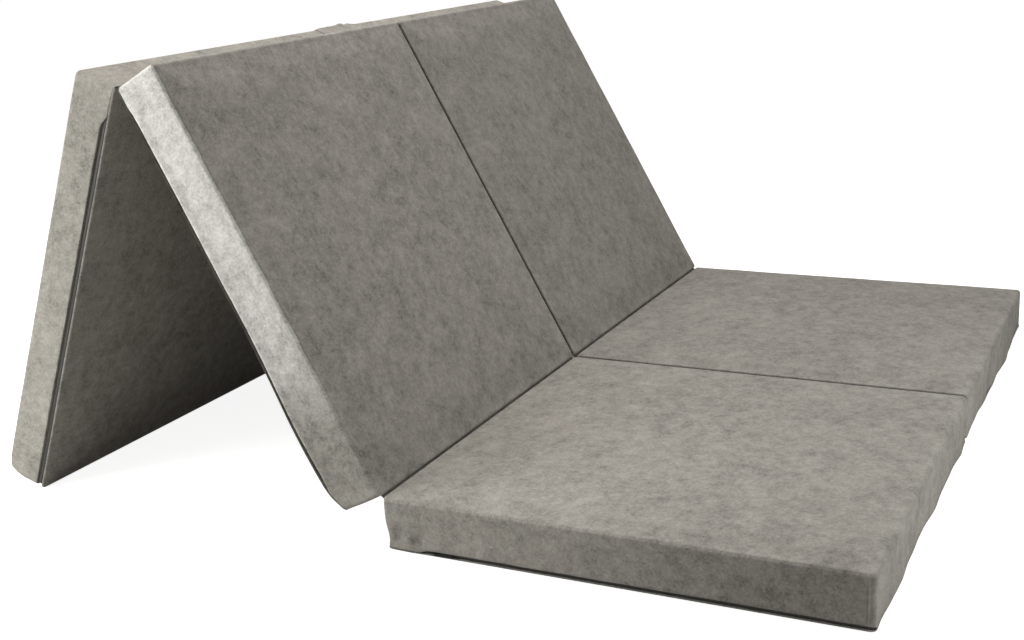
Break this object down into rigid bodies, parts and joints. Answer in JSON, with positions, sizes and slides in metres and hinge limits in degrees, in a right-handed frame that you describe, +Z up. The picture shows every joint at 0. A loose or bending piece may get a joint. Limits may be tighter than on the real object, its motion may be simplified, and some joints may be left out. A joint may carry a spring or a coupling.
{
  "type": "folding futon mattress",
  "caption": "Folding futon mattress of square foam blocks in zip-off suede covers, set up as a lounge seat with a sloped back propped on its head blocks.",
  "frame": {"origin": "middle of the footprint at rest, on the floor", "axes": "+X from the head blocks towards the front of the seat, +Y from the left column to the right column, +Z up"},
  "size_m": [1.3154, 1.3078, 0.642],
  "materials": {
    "cover_cloth": "suede nap",
    "base_cloth": "brushed cloth",
    "zip_cloth": "woven tape",
    "zip_coil": "nylon",
    "zip_metal": "black enamel",
    "foam": "open-cell foam"
  },
  "bodies": {
    "head_left": {"head_left_foam": "foam", "head_left_cover": "cover_cloth", "head_left_base": "base_cloth", "head_left_zip_tape": "zip_cloth", "head_left_zip_coil": "zip_coil", "head_left_zip_tacks": "zip_cloth", "join_tape_left": "cover_cloth"},
    "head_left_slider": {"head_left_zip_slider": "zip_metal"},
    "head_left_pull": {"head_left_zip_pull": "zip_metal"},
    "back_left": {"back_left_foam": "foam", "back_left_cover": "cover_cloth", "back_left_base": "base_cloth", "back_left_zip_tape": "zip_cloth", "back_left_zip_coil": "zip_coil", "back_left_zip_tacks": "zip_cloth", "apex_seam_left": "base_cloth", "crease_seam_left": "base_cloth"},
    "back_left_slider": {"back_left_zip_slider": "zip_metal"},
    "back_left_pull": {"back_left_zip_pull": "zip_metal"},
    "seat_left": {"seat_left_foam": "foam", "seat_left_cover": "cover_cloth", "seat_left_base": "base_cloth", "seat_left_zip_tape": "zip_cloth", "seat_left_zip_coil": "zip_coil", "seat_left_zip_tacks": "zip_cloth"},
    "seat_left_slider": {"seat_left_zip_slider": "zip_metal"},
    "seat_left_pull": {"seat_left_zip_pull": "zip_metal"},
    "head_right": {"head_right_foam": "foam", "head_right_cover": "cover_cloth", "head_right_base": "base_cloth", "head_right_zip_tape": "zip_cloth", "head_right_zip_coil": "zip_coil", "head_right_zip_tacks": "zip_cloth", "join_tape_right": "cover_cloth"},
    "head_right_slider": {"head_right_zip_slider": "zip_metal"},
    "head_right_pull": {"head_right_zip_pull": "zip_metal"},
    "back_right": {"back_right_foam": "foam", "back_right_cover": "cover_cloth", "back_right_base": "base_cloth", "back_right_zip_tape": "zip_cloth", "back_right_zip_coil": "zip_coil", "back_right_zip_tacks": "zip_cloth", "apex_seam_right": "base_cloth", "crease_seam_right": "base_cloth"},
    "back_right_slider": {"back_right_zip_slider": "zip_metal"},
    "back_right_pull": {"back_right_zip_pull": "zip_metal"},
    "seat_right": {"seat_right_foam": "foam", "seat_right_cover": "cover_cloth", "seat_right_base": "base_cloth", "seat_right_zip_tape": "zip_cloth", "seat_right_zip_coil": "zip_coil", "seat_right_zip_tacks": "zip_cloth"},
    "seat_right_slider": {"seat_right_zip_slider": "zip_metal"},
    "seat_right_pull": {"seat_right_zip_pull": "zip_metal"}
  },
  "joints": [
    {"name": "crease_left", "type": "hinge", "parent": "seat_left", "child": "back_left", "pos_m": [0.00719, -0.3275, 0.072], "axis": [0, 1, 0], "range_deg": [-61.5, 116.5]},
    {"name": "apex_left", "type": "hinge", "parent": "back_left", "child": "head_left", "pos_m": [-0.36719, -0.3275, 0.61063], "axis": [0, -1, 0], "range_deg": [-131.43, 46.57]},
    {"name": "column_join", "type": "hinge", "parent": "head_left", "child": "head_right", "pos_m": [-0.5485, 0, 0.32979], "axis": [0.3431, 0, 0.9393], "range_deg": [0, 178]},
    {"name": "apex_right", "type": "hinge", "parent": "head_right", "child": "back_right", "pos_m": [-0.36719, 0.3275, 0.61063], "axis": [0, 1, 0], "range_deg": [-131.43, 46.57]},
    {"name": "crease_right", "type": "hinge", "parent": "back_right", "child": "seat_right", "pos_m": [0.00719, 0.3275, 0.072], "axis": [0, -1, 0], "range_deg": [-61.5, 116.5]},
    {"name": "seat_left_zip", "type": "slide", "parent": "seat_left", "child": "seat_left_slider", "axis": [1, 0, 0], "range_m": [0, 0.51]},
    {"name": "seat_left_tab", "type": "hinge", "parent": "seat_left_slider", "child": "seat_left_pull", "pos_m": [0.08619, -0.6523, 0.0085], "axis": [0, 0, -1], "range_deg": [0, 170]},
    {"name": "back_left_zip", "type": "slide", "parent": "back_left", "child": "back_left_slider", "axis": [-0.4772, 0, 0.8788], "range_m": [0, 0.51]},
    {"name": "back_left_tab", "type": "hinge", "parent": "back_left_slider", "child": "back_left_pull", "pos_m": [-0.08679, -0.6523, 0.11201], "axis": [-0.8788, 0, -0.4772], "range_deg": [0, 170]},
    {"name": "head_left_zip", "type": "slide", "parent": "head_left", "child": "head_left_slider", "axis": [0, -1, 0], "range_m": [0, 0.44]},
    {"name": "head_left_tab", "type": "hinge", "parent": "head_left_slider", "child": "head_left_pull", "pos_m": [-0.59847, -0.1495, 0.00226], "axis": [0.9393, 0, -0.3431], "range_deg": [0, 170]},
    {"name": "seat_right_zip", "type": "slide", "parent": "seat_right", "child": "seat_right_slider", "axis": [1, 0, 0], "range_m": [0, 0.51]},
    {"name": "seat_right_tab", "type": "hinge", "parent": "seat_right_slider", "child": "seat_right_pull", "pos_m": [0.08619, 0.6523, 0.0085], "axis": [0, 0, 1], "range_deg": [0, 170]},
    {"name": "back_right_zip", "type": "slide", "parent": "back_right", "child": "back_right_slider", "axis": [-0.4772, 0, 0.8788], "range_m": [0, 0.51]},
    {"name": "back_right_tab", "type": "hinge", "parent": "back_right_slider", "child": "back_right_pull", "pos_m": [-0.08679, 0.6523, 0.11201], "axis": [0.8788, 0, 0.4772], "range_deg": [0, 170]},
    {"name": "head_right_zip", "type": "slide", "parent": "head_right", "child": "head_right_slider", "axis": [0, 1, 0], "range_m": [0, 0.44]},
    {"name": "head_right_tab", "type": "hinge", "parent": "head_right_slider", "child": "head_right_pull", "pos_m": [-0.59847, 0.1495, 0.00226], "axis": [-0.9393, 0, 0.3431], "range_deg": [0, 170]}
  ]
}
